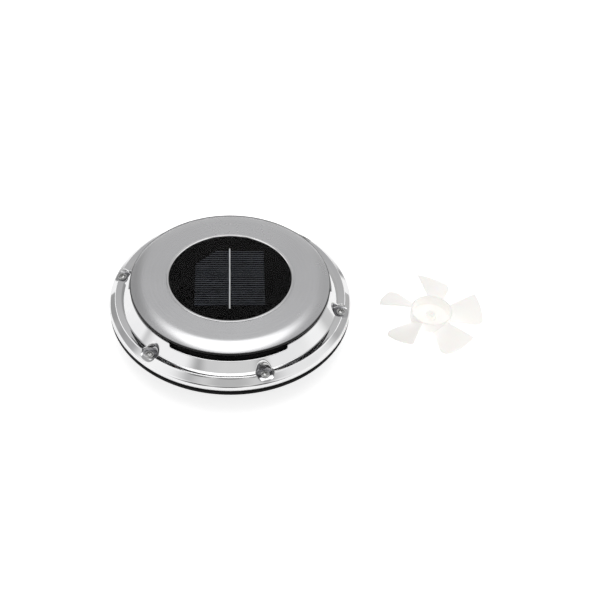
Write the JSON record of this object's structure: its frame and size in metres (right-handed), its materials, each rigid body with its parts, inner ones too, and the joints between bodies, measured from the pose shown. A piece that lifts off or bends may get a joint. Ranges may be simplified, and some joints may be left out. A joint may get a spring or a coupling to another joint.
{
  "type": "solar roof vent fan",
  "caption": "Low round solar-powered extractor vent: domed steel cover with a solar panel over a collar-mounted motor and impeller, with a loose spare impeller.",
  "frame": {"origin": "centre of the roof hole, in the plane of the roof surface that the gasket sits on", "axes": "+Z outdoors along the fan's axis, +X towards the loose spare impeller, +Y towards the cut corner's edge of the solar cell; -Z down the collar"},
  "size_m": [0.3415, 0.2164, 0.0615],
  "materials": {
    "dome_steel": "satin spun stainless",
    "ring_steel": "polished pressed stainless",
    "screw_steel": "stainless, bright",
    "bezel_steel": "polished",
    "gasket_rubber": "matt black neoprene",
    "black_plastic": "moulded ABS, fine texture",
    "panel_black": "black laminate",
    "silicon": "dark blue-black cells with fine printed fingers",
    "tinned_copper": "tinned, slightly uneven solder",
    "clear_acrylic": "clear, glossy",
    "foam_black": "closed-cell foam",
    "board_green": "solder mask",
    "component_black": "moulded components",
    "motor_steel": "zinc plated",
    "cap_white": "nylon",
    "magnet_grey": "ferrite",
    "lamination_steel": "stacked sheet",
    "copper": "enamelled copper",
    "bronze": "sintered bronze",
    "battery_skin": "shrink sleeve",
    "spring_steel": "nickel plated",
    "lead_red": "PVC insulation",
    "lead_black": "PVC insulation",
    "mesh_dark": "coated insect mesh",
    "ivory_plastic": "moulded, satin"
  },
  "bodies": {
    "vent": {"roof_gasket": "gasket_rubber", "base_body": "black_plastic", "trim_ring": "ring_steel", "deck_screws": "screw_steel", "dome_cover": "dome_steel", "cover_weld_nuts": "screw_steel", "cover_screws": "screw_steel", "panel_seal": "foam_black", "panel_board": "panel_black", "solar_cells": "silicon", "cell_ribbon": "tinned_copper", "panel_lens": "clear_acrylic", "panel_bezel": "bezel_steel", "panel_terminal": "black_plastic", "motor_carrier": "black_plastic", "carrier_screws": "screw_steel", "carrier_lid": "black_plastic", "lid_screws": "screw_steel", "lead_grommet": "gasket_rubber", "motor_can": "motor_steel", "motor_end_cap": "cap_white", "motor_bushes": "bronze", "motor_magnets": "magnet_grey", "motor_brushes": "bronze", "battery_cell": "battery_skin", "battery_spring": "spring_steel", "battery_contacts": "spring_steel", "control_board": "board_green", "board_parts": "component_black", "switch_body": "component_black", "panel_lead_red": "lead_red", "panel_lead_black": "lead_black", "battery_lead_red": "lead_red", "battery_lead_black": "lead_black", "motor_lead_red": "lead_red", "motor_lead_black": "lead_black"},
    "rotor": {"motor_shaft": "motor_steel", "rotor_core": "lamination_steel", "rotor_windings": "copper", "commutator": "copper", "impeller": "ivory_plastic"},
    "switch": {"switch_slider": "cap_white"},
    "door": {"battery_door": "black_plastic"},
    "screen": {"insect_screen_frame": "black_plastic", "insect_screen_mesh": "mesh_dark"},
    "spare": {"spare_impeller": "ivory_plastic"}
  },
  "joints": [
    {"name": "rotor_spin", "type": "hinge", "parent": "vent", "child": "rotor", "pos_m": [0, 0, -0.014], "axis": [0, 0, 1], "continuous": true},
    {"name": "switch_slide", "type": "slide", "parent": "vent", "child": "switch", "axis": [1, 0, 0], "range_m": [0, 0.003]},
    {"name": "door_slide", "type": "slide", "parent": "vent", "child": "door", "axis": [1, 0, 0], "range_m": [0, 0.006]},
    {"name": "screen_pull", "type": "slide", "parent": "vent", "child": "screen", "axis": [0, 0, -1], "range_m": [0, 0.04]},
    {"name": "spare_lift", "type": "slide", "parent": "vent", "child": "spare", "axis": [0, 0, 1], "range_m": [0, 0.15]}
  ]
}
